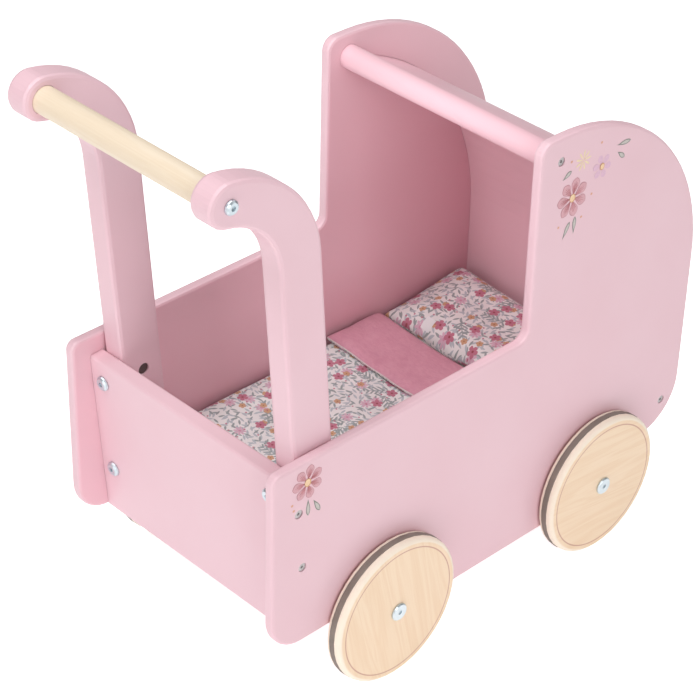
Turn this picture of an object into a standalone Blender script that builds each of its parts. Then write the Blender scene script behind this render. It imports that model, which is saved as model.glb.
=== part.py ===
"""Wooden doll stroller: cut-out side panels, bent hood, gooseneck handle posts and four wheels.

Units are metres. +Z is up, the hood faces -Y, the handle is at +Y, and X is the width. The origin is
on the floor, under the middle of the bounding box. "left" and "right" are those of the person who
pushes, so right is -X. Most places are measured from the rear edge of the side panels, at Y = 0 of the
empty "stroller"; what belongs to the leaning rear panel is measured from its lower outer edge, at the
empty "rear_frame".
"""
import math

import bmesh
import bpy
from mathutils import Matrix, Vector

MM = 0.001
GAP = 0.3 * MM
ARC_TOLERANCE = 0.12 * MM
SIDES = {"left": 1, "right": -1}

# Overall
BODY_WIDTH = 242.4 * MM
BODY_LENGTH = 474 * MM

# Side panels
PANEL_THICKNESS = 9.4 * MM
PANEL_INNER_X = BODY_WIDTH / 2 - PANEL_THICKNESS
RIM_HEIGHT = 245 * MM
FLOOR_CLEARANCE = 75 * MM
BELLY_HEIGHT = 40.5 * MM
BELLY_MARGIN = 40 * MM
HOOD_REAR_Y = -271 * MM
HOOD_HEIGHT = 418 * MM
HOOD_RADIUS = 177 * MM
PANEL_ROUND = 2.5 * MM
GROOVE_DEPTH = 4 * MM

# Wheels and axles
WHEEL_RADIUS = 65 * MM
WHEEL_THICKNESS = 14.5 * MM
WHEEL_GAP = 2.5 * MM
REAR_AXLE_Y = -118.7 * MM
WHEELBASE = 243.2 * MM
AXLES = {"rear": REAR_AXLE_Y, "front": REAR_AXLE_Y - WHEELBASE}
RIM_FRONT_ROUND = 4 * MM
RIM_BACK_ROUND = 2.5 * MM
TYRE_WIDTH = 5.8 * MM
TYRE_INSET = 3.15 * MM
TYRE_DEPTH = 3 * MM
TYRE_PROUD = 0.4 * MM
AXLE_RADIUS = 3 * MM
AXLE_NECK_RADIUS = 2.5 * MM
SLEEVE_RADIUS = 4.3 * MM
WASHER_RADIUS = 9 * MM
CAP_RADIUS = 7.75 * MM
CAP_HEIGHT = 1.8 * MM
WHEEL_SEGMENTS = 40

# Rear panel and handle posts
LEAN = math.radians(4.5)
REAR_PANEL_THICKNESS = 14 * MM
REAR_PANEL_HEIGHT = 153.6 * MM
REAR_PANEL_DROP = 0.8 * MM
REAR_PANEL_FOOT_Y = -29 * MM
POST_THICKNESS = 22 * MM
POST_DEPTH = 39 * MM
POST_FOOT = 12 * MM
POST_STRAIGHT = 334.3 * MM
POST_HEAD = (26.1 * MM, 408.6 * MM)
POST_HEAD_RADIUS = 17.7 * MM
POST_ROUND = 3 * MM
POST_CLEARANCE = 1.2 * MM
POST_OUTER_X = PANEL_INNER_X - POST_CLEARANCE
POST_INNER_X = POST_OUTER_X - POST_THICKNESS
POST_CENTRE_X = (POST_OUTER_X + POST_INNER_X) / 2
POST_REAR_Y = -REAR_PANEL_THICKNESS - GAP
POST_FRONT_Y = POST_REAR_Y - POST_DEPTH
POST_CENTRE_Y = (POST_REAR_Y + POST_FRONT_Y) / 2
HANDLE_OVERHANG = (REAR_PANEL_FOOT_Y + POST_HEAD[0] * math.cos(LEAN) + POST_HEAD[1] * math.sin(LEAN)
                   + POST_HEAD_RADIUS)
REAR_EDGE_Y = (BODY_LENGTH - HANDLE_OVERHANG) / 2
BOLT_HEIGHTS = {"upper": 134 * MM, "lower": 46.5 * MM}
BOLT_X = 97.3 * MM
EDGE_SCREW_HEIGHTS = {"upper": 125.2 * MM, "lower": 72.5 * MM}
BARREL_RADIUS = 5 * MM
BARREL_LENGTH = 15 * MM

# Dowels and hood sheet
HANDLE_BAR_RADIUS = 10.8 * MM
DOWEL_RADIUS = 10.2 * MM
DOWEL_SEGMENTS = 36
SOCKET_DEPTH = 3 * MM
HOOD_DOWEL = (-293.9 * MM, 397.3 * MM)
FRONT_DOWEL = (-453 * MM, 102 * MM)
SHEET_THICKNESS = 4 * MM
SHEET_CENTRE = (-249.3 * MM, 195.8 * MM)
SHEET_RADIUS = 204 * MM
SHEET_TONGUE = 5 * MM

# Base board and bedding
BASE_THICKNESS = 9 * MM
BASE_TOP = 87.5 * MM
BASE_REAR_Y = -45 * MM
BASE_FRONT_Y = -440 * MM
MATTRESS_THICKNESS = 26 * MM
MATTRESS_REAR_Y = -83 * MM
MATTRESS_FRONT_Y = -441 * MM
BEDDING_HALF_WIDTH = 108 * MM
MATTRESS_TOP = BASE_TOP + GAP + MATTRESS_THICKNESS
BLANKET_THICKNESS = 8.5 * MM
BLANKET_FOLD_REAR_Y = -271 * MM
BLANKET_FRONT_Y = -336 * MM
BLANKET_FOLD_RISE = 8 * MM
PILLOW_REAR_Y = -343 * MM
PILLOW_FRONT_Y = -438 * MM
PILLOW_HALF_WIDTH = 100 * MM
PILLOW_THICKNESS = 21 * MM

# Fasteners, each as head radius, head height, shank radius, shank length and socket radius
BOLT = (6.5 * MM, 3.0 * MM, 3.0 * MM, 38 * MM, 2.0 * MM)
HANDLE_SCREW = (5.9 * MM, 3.0 * MM, 2.6 * MM, 41 * MM, 2.0 * MM)
EDGE_SCREW = (3.7 * MM, 1.8 * MM, 1.8 * MM, 34 * MM, 1.3 * MM)
EDGE_SCREW_SINK = 0.8 * MM
FASTENER_SEGMENTS = 12


def clear_scene():
    for obj in list(bpy.data.objects):
        bpy.data.objects.remove(obj, do_unlink=True)


def new_collection(name):
    collection = bpy.data.collections.new(name)
    bpy.context.scene.collection.children.link(collection)
    return collection


def new_material(name, colour, roughness, metallic=0.0):
    material = bpy.data.materials.new(name)
    material.use_nodes = True
    shader = material.node_tree.nodes["Principled BSDF"]
    shader.inputs["Base Color"].default_value = (*colour, 1.0)
    shader.inputs["Roughness"].default_value = roughness
    shader.inputs["Metallic"].default_value = metallic
    return material


clear_scene()
PARTS = new_collection("doll_stroller")
CUTTERS = new_collection("cutters")
PAINT = new_material("pink_paint", (0.80, 0.51, 0.57), 0.5)
BIRCH = new_material("birch", (0.86, 0.68, 0.48), 0.55)
RUBBER = new_material("grey_rubber", (0.23, 0.20, 0.18), 0.75)
STEEL = new_material("bright_steel", (0.72, 0.75, 0.77), 0.3, 1.0)
NYLON = new_material("white_nylon", (0.85, 0.85, 0.83), 0.45)
FLORAL = new_material("floral_cotton", (0.88, 0.80, 0.75), 0.9)
PLAIN = new_material("plain_cotton", (0.86, 0.78, 0.76), 0.9)


def new_empty(name, parent=None, location=(0, 0, 0), rotation=(0, 0, 0)):
    empty = bpy.data.objects.new(name, None)
    bpy.context.scene.collection.objects.link(empty)
    empty.parent = parent
    empty.location = location
    empty.rotation_euler = rotation
    return empty


STROLLER = new_empty("stroller", location=(0, REAR_EDGE_Y, 0))
REAR_FRAME = new_empty("rear_frame", STROLLER, (0, REAR_PANEL_FOOT_Y, FLOOR_CLEARANCE), (-LEAN, 0, 0))


def place(obj, material=None, parent=STROLLER, location=(0, 0, 0), rotation=(0, 0, 0)):
    """Put a part in its collection; an object without a material is a cutter."""
    obj.parent = parent
    obj.location = location
    obj.rotation_euler = rotation
    if material is None:
        CUTTERS.objects.link(obj)
        obj.hide_render = True
        obj.display_type = "WIRE"
    else:
        PARTS.objects.link(obj)
        obj.data.materials.append(material)
    return obj


def facing(side):
    """Rotation that turns local +Z to the outward X direction of a side."""
    return (0, side * math.pi / 2, 0)


def cut(target, *cutters):
    for cutter in cutters:
        modifier = target.modifiers.new("cut_" + cutter.name, "BOOLEAN")
        modifier.operation = "DIFFERENCE"
        modifier.object = cutter


def round_edges(obj, width, segments=2):
    bevel = obj.modifiers.new("rounded_edges", "BEVEL")
    bevel.width = width
    bevel.segments = segments
    bevel.limit_method = "ANGLE"
    bevel.angle_limit = math.radians(40)
    bevel.use_clamp_overlap = False


def arc(centre, radius, start, sweep, skip_first=False):
    """Points on an arc, spaced so that each chord stays within ARC_TOLERANCE of the circle."""
    step = 2 * math.acos(1 - ARC_TOLERANCE / radius)
    count = max(2, math.ceil(abs(sweep) / step))
    turns = [start + sweep * i / count for i in range(1 if skip_first else 0, count + 1)]
    return [(centre[0] + radius * math.cos(a), centre[1] + radius * math.sin(a)) for a in turns]


def rounded_polygon(corners):
    """Outline of (y, z, radius) corners, each replaced by a tangent arc."""
    points = []
    for i, (y, z, radius) in enumerate(corners):
        corner = Vector((y, z))
        before = (Vector(corners[i - 1][:2]) - corner).normalized()
        after = (Vector(corners[(i + 1) % len(corners)][:2]) - corner).normalized()
        half_angle = before.angle(after) / 2
        centre = corner + (before + after).normalized() * radius / math.sin(half_angle)
        first = corner + before * radius / math.tan(half_angle) - centre
        last = corner + after * radius / math.tan(half_angle) - centre
        sweep = math.atan2(first.x * last.y - first.y * last.x, first.dot(last))
        points += arc(centre, radius, math.atan2(first.y, first.x), sweep)
    return points


def plate(name, outline, thickness):
    """A flat solid with the outline in YZ and its thickness centred on X = 0."""
    curve = bpy.data.curves.new(name, "CURVE")
    curve.dimensions = "2D"
    curve.fill_mode = "BOTH"
    curve.extrude = thickness / 2
    spline = curve.splines.new("POLY")
    spline.points.add(len(outline) - 1)
    for point, (y, z) in zip(spline.points, outline):
        point.co = (y, z, 0, 1)
    spline.use_cyclic_u = True
    source = bpy.data.objects.new(name + "_curve", curve)
    bpy.context.scene.collection.objects.link(source)
    evaluated = source.evaluated_get(bpy.context.evaluated_depsgraph_get())
    mesh = bpy.data.meshes.new_from_object(evaluated)
    bpy.data.objects.remove(source)
    weld_and_join_caps(mesh, thickness / 2)
    mesh.transform(Matrix(((0, 0, 1, 0), (1, 0, 0, 0), (0, 1, 0, 0), (0, 0, 0, 1))))
    return bpy.data.objects.new(name, mesh)


def weld_and_join_caps(mesh, half_thickness):
    """Weld a filled curve's caps to its sides and make each cap a single face."""
    work = bmesh.new()
    work.from_mesh(mesh)
    bmesh.ops.remove_doubles(work, verts=work.verts, dist=0.01 * MM)
    for level in (-half_thickness, half_thickness):
        cap = [face for face in work.faces if all(abs(v.co.z - level) < 0.01 * MM for v in face.verts)]
        bmesh.ops.dissolve_faces(work, faces=cap)
    bmesh.ops.recalc_face_normals(work, faces=work.faces)
    work.to_mesh(mesh)
    work.free()


def turned(name, profile, segments, closed=False):
    """A solid of revolution about local Z; the (radius, z) profile runs down its outer side."""
    edges = [(i, i + 1) for i in range(len(profile) - 1)]
    if closed:
        edges.append((len(profile) - 1, 0))
    mesh = bpy.data.meshes.new(name)
    mesh.from_pydata([(radius, 0, z) for radius, z in profile], edges, [])
    obj = bpy.data.objects.new(name, mesh)
    screw = obj.modifiers.new("turn", "SCREW")
    screw.steps = segments
    screw.render_steps = segments
    screw.use_merge_vertices = True
    screw.merge_threshold = 0.01 * MM
    return obj


def cylinder(name, radius, bottom, top, segments=FASTENER_SEGMENTS):
    return turned(name, [(0, top), (radius, top), (radius, bottom), (0, bottom)], segments)


def box(name, low, high):
    """A box between two corners, made from the cube primitive."""
    mesh = bpy.data.meshes.new(name)
    work = bmesh.new()
    size = Vector(high) - Vector(low)
    middle = (Vector(high) + Vector(low)) / 2
    bmesh.ops.create_cube(work, size=1, matrix=Matrix.LocRotScale(middle, None, size))
    work.to_mesh(mesh)
    work.free()
    return bpy.data.objects.new(name, mesh)


def pan_profile(spec, grow=0.0):
    """Pan-head fastener seated on the surface at z = 0, with a socket in its head."""
    head, height, shank, length, socket = spec
    if grow:
        return [(0, grow), (shank + grow, grow), (shank + grow, -length - grow), (0, -length - grow)]
    top = GAP + height
    return [(0, top - 1.6 * MM), (socket, top - 1.6 * MM), (socket, top), (0.72 * head, top),
            (0.94 * head, GAP + 0.6 * height), (head, GAP + 0.25 * height), (head, GAP), (shank, GAP),
            (shank, -length + 1 * MM), (0.7 * shank, -length), (0, -length)]


def countersunk_profile(spec, grow=0.0):
    """Countersunk screw sunk a little below the surface at z = 0; grown, it is its own hole."""
    head, height, shank, length, socket = spec
    seat = -EDGE_SCREW_SINK
    cone = [(head + grow, seat - 0.4 * MM - grow), (shank + grow, seat - height - grow)]
    tail = [(shank + grow, -length + 2 * MM), (0, -length)]
    if grow:
        tail = [(shank + grow, -length - grow), (0, -length - grow)]
        return [(0, 1 * MM), (head + grow, 1 * MM)] + cone + tail
    return [(0, seat - 1 * MM), (socket, seat - 1 * MM), (socket, seat), (head, seat)] + cone + tail


def fastener(name, profile, spec, parent, location, rotation):
    """A fastener and the cutter for its hole."""
    screw = place(turned(name, profile(spec), FASTENER_SEGMENTS), STEEL, parent, location, rotation)
    hole = turned(name + "_hole", profile(spec, GAP), FASTENER_SEGMENTS)
    return screw, place(hole, None, parent, location, rotation)


def sheet_outline(thickness, end_gap=0.0):
    """Section of the bent hood sheet, from its tongue in the hood dowel to the front dowel."""
    inner = SHEET_RADIUS - thickness / 2
    outer = SHEET_RADIUS + thickness / 2
    tongue_y = HOOD_DOWEL[0] - SHEET_TONGUE + end_gap
    start = math.acos((tongue_y - SHEET_CENTRE[0]) / SHEET_RADIUS)
    foot_z = FRONT_DOWEL[1] + DOWEL_RADIUS - SHEET_TONGUE - end_gap
    outside = arc(SHEET_CENTRE, outer, start, math.pi - start)
    inside = arc(SHEET_CENTRE, inner, math.pi, start - math.pi)
    foot = [(SHEET_CENTRE[0] - outer, foot_z), (SHEET_CENTRE[0] - inner, foot_z)]
    return outside + foot + inside


def side_outline():
    front_foot_y = AXLES["front"] - BELLY_MARGIN
    rear_foot_y = AXLES["rear"] + BELLY_MARGIN
    step_radius = (FLOOR_CLEARANCE - BELLY_HEIGHT) / 2 - 1 * MM
    return rounded_polygon([
        (0, RIM_HEIGHT, 8 * MM),
        (HOOD_REAR_Y, RIM_HEIGHT, 10 * MM),
        (HOOD_REAR_Y, HOOD_HEIGHT, 12 * MM),
        (-BODY_LENGTH, HOOD_HEIGHT, HOOD_RADIUS),
        (-BODY_LENGTH, FLOOR_CLEARANCE, 45 * MM),
        (front_foot_y, FLOOR_CLEARANCE, step_radius),
        (front_foot_y, BELLY_HEIGHT, step_radius),
        (rear_foot_y, BELLY_HEIGHT, step_radius),
        (rear_foot_y, FLOOR_CLEARANCE, step_radius),
        (0, FLOOR_CLEARANCE, 30 * MM),
    ])


def bend_radius(side_y, reach):
    """Radius of the arc that leaves a side of the post upright and meets the head's circle smoothly.

    The head lies inside the outer arc, where reach is negative, and outside the inner one.
    """
    across = POST_HEAD[0] - side_y
    rise = POST_HEAD[1] - POST_STRAIGHT
    return (across ** 2 + rise ** 2 - reach ** 2) / (2 * (across + reach))


def post_outline():
    """Straight post, then a gooseneck that ends in a round head, in the leaning frame."""
    outer = bend_radius(POST_FRONT_Y, -POST_HEAD_RADIUS)
    inner = bend_radius(POST_REAR_Y, POST_HEAD_RADIUS)
    outer_bend = (POST_FRONT_Y + outer, POST_STRAIGHT)
    inner_bend = (POST_REAR_Y + inner, POST_STRAIGHT)
    rise = POST_HEAD[1] - POST_STRAIGHT
    outer_end = math.atan2(rise, POST_HEAD[0] - outer_bend[0])
    inner_end = math.atan2(rise, POST_HEAD[0] - inner_bend[0])
    foot_radius = 4 * MM
    foot_z = POST_FOOT + foot_radius
    outline = arc((POST_FRONT_Y + foot_radius, foot_z), foot_radius, -math.pi / 2, -math.pi / 2)
    outline += arc(outer_bend, outer, math.pi, outer_end - math.pi)
    outline += arc(POST_HEAD, POST_HEAD_RADIUS, outer_end, inner_end - math.pi - outer_end, skip_first=True)
    outline += arc(inner_bend, inner, inner_end, math.pi - inner_end, skip_first=True)
    outline += arc((POST_REAR_Y - foot_radius, foot_z), foot_radius, 0, -math.pi / 2)
    return outline


def wheel_profile():
    wood = WHEEL_RADIUS - TYRE_PROUD
    groove_low = TYRE_INSET
    groove_high = TYRE_INSET + TYRE_WIDTH
    bore = SLEEVE_RADIUS + GAP
    front = arc((wood - RIM_FRONT_ROUND, WHEEL_THICKNESS - RIM_FRONT_ROUND), RIM_FRONT_ROUND,
                math.pi / 2, -math.pi / 2)
    back = arc((wood - RIM_BACK_ROUND, RIM_BACK_ROUND), RIM_BACK_ROUND, 0, -math.pi / 2)
    groove = [(wood, groove_high), (wood - TYRE_DEPTH, groove_high), (wood - TYRE_DEPTH, groove_low),
              (wood, groove_low)]
    return [(bore, WHEEL_THICKNESS)] + front + groove + back + [(bore, 0)]


def tyre_profile():
    low = TYRE_INSET + GAP
    high = TYRE_INSET + TYRE_WIDTH - GAP
    inner = WHEEL_RADIUS - TYRE_PROUD - TYRE_DEPTH + GAP
    crown = 0.9 * MM
    return [(inner, high), (WHEEL_RADIUS - TYRE_PROUD, high), (WHEEL_RADIUS, high - crown),
            (WHEEL_RADIUS, low + crown), (WHEEL_RADIUS - TYRE_PROUD, low), (inner, low)]


def cap_profile():
    """Flanged sleeve nut: the wheel turns on its sleeve, and the axle's end sits in its bore."""
    sleeve = WHEEL_GAP + WHEEL_THICKNESS
    bore = AXLE_NECK_RADIUS + GAP
    return [(0, 0.8 * MM), (2 * MM, 0.8 * MM), (2 * MM, CAP_HEIGHT), (CAP_RADIUS - 0.8 * MM, CAP_HEIGHT),
            (CAP_RADIUS, CAP_HEIGHT - 0.8 * MM), (CAP_RADIUS, 0), (SLEEVE_RADIUS, 0),
            (SLEEVE_RADIUS, -sleeve), (bore, -sleeve), (bore, -3 * MM), (0, -3 * MM)]


def make_side_panels():
    panels = {}
    for label, side in SIDES.items():
        panel = plate("side_panel_" + label, side_outline(), PANEL_THICKNESS)
        place(panel, PAINT, location=(side * (BODY_WIDTH - PANEL_THICKNESS) / 2, 0, 0))
        round_edges(panel, PANEL_ROUND)
        panels[label] = panel
    groove_width = 2 * (PANEL_INNER_X + GROOVE_DEPTH)
    sheet_groove = place(plate("sheet_groove", sheet_outline(SHEET_THICKNESS + 2 * GAP, GAP), groove_width))
    half = PANEL_INNER_X + GROOVE_DEPTH
    base_groove = place(box("base_groove", (-half, BASE_FRONT_Y - GAP, BASE_TOP - BASE_THICKNESS - GAP),
                            (half, BASE_REAR_Y + GAP, BASE_TOP + GAP)))
    for panel in panels.values():
        cut(panel, sheet_groove, base_groove)
    return panels, sheet_groove


def make_rear_panel():
    outline = rounded_polygon([(y, z, 2.5 * MM) for y, z in (
        (0, -REAR_PANEL_DROP), (0, REAR_PANEL_HEIGHT), (-REAR_PANEL_THICKNESS, REAR_PANEL_HEIGHT),
        (-REAR_PANEL_THICKNESS, -REAR_PANEL_DROP))])
    return place(plate("rear_panel", outline, 2 * (PANEL_INNER_X - GAP)), PAINT, REAR_FRAME)


def make_handle():
    """Two gooseneck posts, the bar in their sockets, and the screws that hold it."""
    outline = post_outline()
    socket_floor = POST_INNER_X + SOCKET_DEPTH
    bar_end = socket_floor - GAP
    bar = cylinder("handle_bar", HANDLE_BAR_RADIUS, -bar_end, bar_end, DOWEL_SEGMENTS)
    place(bar, BIRCH, REAR_FRAME, (0, *POST_HEAD), facing(1))
    socket = cylinder("handle_bar_sockets", HANDLE_BAR_RADIUS + GAP, -socket_floor, socket_floor, DOWEL_SEGMENTS)
    place(socket, None, REAR_FRAME, (0, *POST_HEAD), facing(1))
    posts = {}
    for label, side in SIDES.items():
        post = plate("handle_post_" + label, outline, POST_THICKNESS)
        place(post, PAINT, REAR_FRAME, (side * POST_CENTRE_X, 0, 0))
        round_edges(post, POST_ROUND)
        screw, hole = fastener("handle_screw_" + label, pan_profile, HANDLE_SCREW, REAR_FRAME,
                               (side * POST_OUTER_X, *POST_HEAD), facing(side))
        cut(post, socket, hole)
        cut(bar, hole)
        posts[label] = post
    return posts


def make_rear_bolts(rear_panel, posts):
    """Bolts through the rear panel into barrel nuts that cross the posts."""
    for label, side in SIDES.items():
        for level, height in BOLT_HEIGHTS.items():
            place_name = label + "_" + level
            bolt, hole = fastener("rear_bolt_" + place_name, pan_profile, BOLT, REAR_FRAME,
                                  (side * BOLT_X, 0, height), (-math.pi / 2, 0, 0))
            half = BARREL_LENGTH / 2
            seat = (side * BOLT_X, POST_CENTRE_Y, height)
            nut = place(cylinder("barrel_nut_" + place_name, BARREL_RADIUS, -half, half), STEEL,
                        REAR_FRAME, seat, facing(side))
            nut_hole = place(cylinder("barrel_nut_hole_" + place_name, BARREL_RADIUS + GAP, -POST_THICKNESS,
                                      half + GAP), None, REAR_FRAME, seat, facing(side))
            cut(rear_panel, hole)
            cut(posts[label], hole, nut_hole)
            cut(nut, hole)


def make_hood(sheet_groove):
    half = PANEL_INNER_X - GAP
    dowels = {}
    for name, (y, z) in (("hood_dowel", HOOD_DOWEL), ("front_dowel", FRONT_DOWEL)):
        dowels[name] = place(cylinder(name, DOWEL_RADIUS, -half, half, DOWEL_SEGMENTS), PAINT,
                             location=(0, y, z), rotation=facing(1))
        cut(dowels[name], sheet_groove)
    width = 2 * (PANEL_INNER_X + GROOVE_DEPTH - GAP)
    place(plate("hood_sheet", sheet_outline(SHEET_THICKNESS), width), PAINT)
    return dowels


def make_edge_screws(panels, rear_panel, dowels):
    """Countersunk screws through the side panels into the rear panel and the dowels."""
    for label, side in SIDES.items():
        seats = [("rear_" + level, REAR_FRAME, (-REAR_PANEL_THICKNESS / 2, height), rear_panel)
                 for level, height in EDGE_SCREW_HEIGHTS.items()]
        seats.append(("hood", STROLLER, HOOD_DOWEL, dowels["hood_dowel"]))
        seats.append(("front", STROLLER, FRONT_DOWEL, dowels["front_dowel"]))
        for seat_name, parent, (y, z), inner in seats:
            screw, hole = fastener("side_screw_" + label + "_" + seat_name, countersunk_profile, EDGE_SCREW,
                                   parent, (side * BODY_WIDTH / 2, y, z), facing(side))
            cut(panels[label], hole)
            cut(inner, hole)


def make_base():
    half = PANEL_INNER_X + GROOVE_DEPTH - GAP
    base = box("base_board", (-half, BASE_FRONT_Y, BASE_TOP - BASE_THICKNESS), (half, BASE_REAR_Y, BASE_TOP))
    return place(base, PAINT)


def make_axle(position, y, panels):
    """A steel axle through both side panels, necked at each end for the sleeve nuts."""
    shoulder = BODY_WIDTH / 2
    tip = BODY_WIDTH / 2 + WHEEL_GAP + WHEEL_THICKNESS - 3 * MM - GAP
    profile = [(0, tip), (AXLE_NECK_RADIUS, tip), (AXLE_NECK_RADIUS, shoulder), (AXLE_RADIUS, shoulder),
               (AXLE_RADIUS, -shoulder), (AXLE_NECK_RADIUS, -shoulder), (AXLE_NECK_RADIUS, -tip), (0, -tip)]
    place(turned("axle_" + position, profile, 16), STEEL, location=(0, y, WHEEL_RADIUS), rotation=facing(1))
    hole = cylinder("axle_hole_" + position, AXLE_RADIUS + GAP, -BODY_WIDTH, BODY_WIDTH, 16)
    place(hole, location=(0, y, WHEEL_RADIUS), rotation=facing(1))
    for panel in panels.values():
        cut(panel, hole)


def make_wheel(position, label, y, side):
    """Wheel, tyre, washer and cap of one corner, all turned about the axle line."""
    corner = position + "_" + label
    turn = facing(side)
    panel_x = BODY_WIDTH / 2
    wheel_x = panel_x + WHEEL_GAP
    washer = [(SLEEVE_RADIUS + GAP, WHEEL_GAP - GAP), (WASHER_RADIUS, WHEEL_GAP - GAP), (WASHER_RADIUS, GAP),
              (SLEEVE_RADIUS + GAP, GAP)]
    pieces = (
        ("wheel_", wheel_profile(), BIRCH, wheel_x, WHEEL_SEGMENTS, True),
        ("tyre_", tyre_profile(), RUBBER, wheel_x, WHEEL_SEGMENTS, True),
        ("washer_", washer, NYLON, panel_x, 16, True),
        ("wheel_cap_", cap_profile(), STEEL, wheel_x + WHEEL_THICKNESS + GAP, 16, False),
    )
    for name, profile, material, x, segments, closed in pieces:
        place(turned(name + corner, profile, segments, closed), material,
              location=(side * x, y, WHEEL_RADIUS), rotation=turn)


def make_bedding():
    mattress = box("mattress", (-BEDDING_HALF_WIDTH, MATTRESS_FRONT_Y, BASE_TOP + GAP),
                   (BEDDING_HALF_WIDTH, MATTRESS_REAR_Y, MATTRESS_TOP))
    round_edges(place(mattress, PLAIN), 5 * MM)
    low = MATTRESS_TOP + GAP
    top = low + BLANKET_THICKNESS
    fold_top = top + BLANKET_FOLD_RISE
    outline = rounded_polygon([
        (MATTRESS_REAR_Y, low, 2 * MM), (MATTRESS_REAR_Y, top, 3 * MM),
        (BLANKET_FOLD_REAR_Y, top, 2 * MM), (BLANKET_FOLD_REAR_Y, fold_top, 3 * MM),
        (BLANKET_FRONT_Y, fold_top, 5 * MM), (BLANKET_FRONT_Y, low, 5 * MM)])
    place(plate("blanket", outline, 2 * BEDDING_HALF_WIDTH), FLORAL)
    pillow = box("pillow", (-PILLOW_HALF_WIDTH, PILLOW_FRONT_Y, low),
                 (PILLOW_HALF_WIDTH, PILLOW_REAR_Y, low + PILLOW_THICKNESS))
    round_edges(place(pillow, FLORAL), 8 * MM, 3)


def shade_smooth():
    for obj in PARTS.objects:
        obj.data.shade_smooth()
        obj.data.set_sharp_from_angle(angle=math.radians(35))


def build():
    panels, sheet_groove = make_side_panels()
    rear_panel = make_rear_panel()
    posts = make_handle()
    make_rear_bolts(rear_panel, posts)
    dowels = make_hood(sheet_groove)
    make_edge_screws(panels, rear_panel, dowels)
    make_base()
    for position, y in AXLES.items():
        make_axle(position, y, panels)
        for label, side in SIDES.items():
            make_wheel(position, label, y, side)
    make_bedding()
    shade_smooth()


build()
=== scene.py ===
"""Looks of the wooden doll stroller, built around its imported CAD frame.

Metres, in the frame's own axes: +Z up, -Y the hood end, +Y the handle end, -X the pusher's right.
"""
import math

import bmesh
import bpy
from mathutils import Matrix, Vector, noise
from mathutils.bvhtree import BVHTree


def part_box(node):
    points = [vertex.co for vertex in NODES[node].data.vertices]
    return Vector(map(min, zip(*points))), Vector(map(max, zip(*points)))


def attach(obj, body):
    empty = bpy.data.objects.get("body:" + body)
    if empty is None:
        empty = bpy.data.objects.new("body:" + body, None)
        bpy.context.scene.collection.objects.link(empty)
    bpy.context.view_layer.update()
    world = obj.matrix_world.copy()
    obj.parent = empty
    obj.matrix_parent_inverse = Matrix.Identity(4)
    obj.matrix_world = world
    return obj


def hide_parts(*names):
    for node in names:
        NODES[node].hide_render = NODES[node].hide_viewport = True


MM = 0.001
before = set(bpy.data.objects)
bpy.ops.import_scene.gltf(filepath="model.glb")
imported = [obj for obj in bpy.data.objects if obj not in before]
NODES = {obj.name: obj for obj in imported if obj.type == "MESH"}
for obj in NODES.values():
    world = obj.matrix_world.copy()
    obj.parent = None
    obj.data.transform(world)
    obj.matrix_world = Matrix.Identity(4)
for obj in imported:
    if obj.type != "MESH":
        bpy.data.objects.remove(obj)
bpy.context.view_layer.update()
SIDES = {"left": 1, "right": -1}


def box_of(node):
    low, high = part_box(node)
    return low, high, (low + high) / 2


PANEL_LOW, PANEL_HIGH, _ = box_of("side_panel_right")
PANEL_FACE = {"left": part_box("side_panel_left")[1].x, "right": PANEL_LOW.x}
REAR_EDGE = PANEL_HIGH.y
INNER_WALL_X = -PANEL_HIGH.x + 0.6 * MM
PILLOW_LOW, PILLOW_HIGH, PILLOW_MID = box_of("pillow")
BLANKET_LOW, BLANKET_HIGH, _ = box_of("blanket")
MATTRESS_LOW, MATTRESS_HIGH, MATTRESS_MID = box_of("mattress")


def add_object(name, data):
    made = bpy.data.objects.new(name, data)
    bpy.context.scene.collection.objects.link(made)
    return made


def srgb(red, green, blue):
    """Linear colour of an 8-bit display colour."""
    def linear(value):
        value /= 255
        return value / 12.92 if value <= 0.04045 else ((value + 0.055) / 1.055) ** 2.4
    return (linear(red), linear(green), linear(blue), 1.0)


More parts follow.
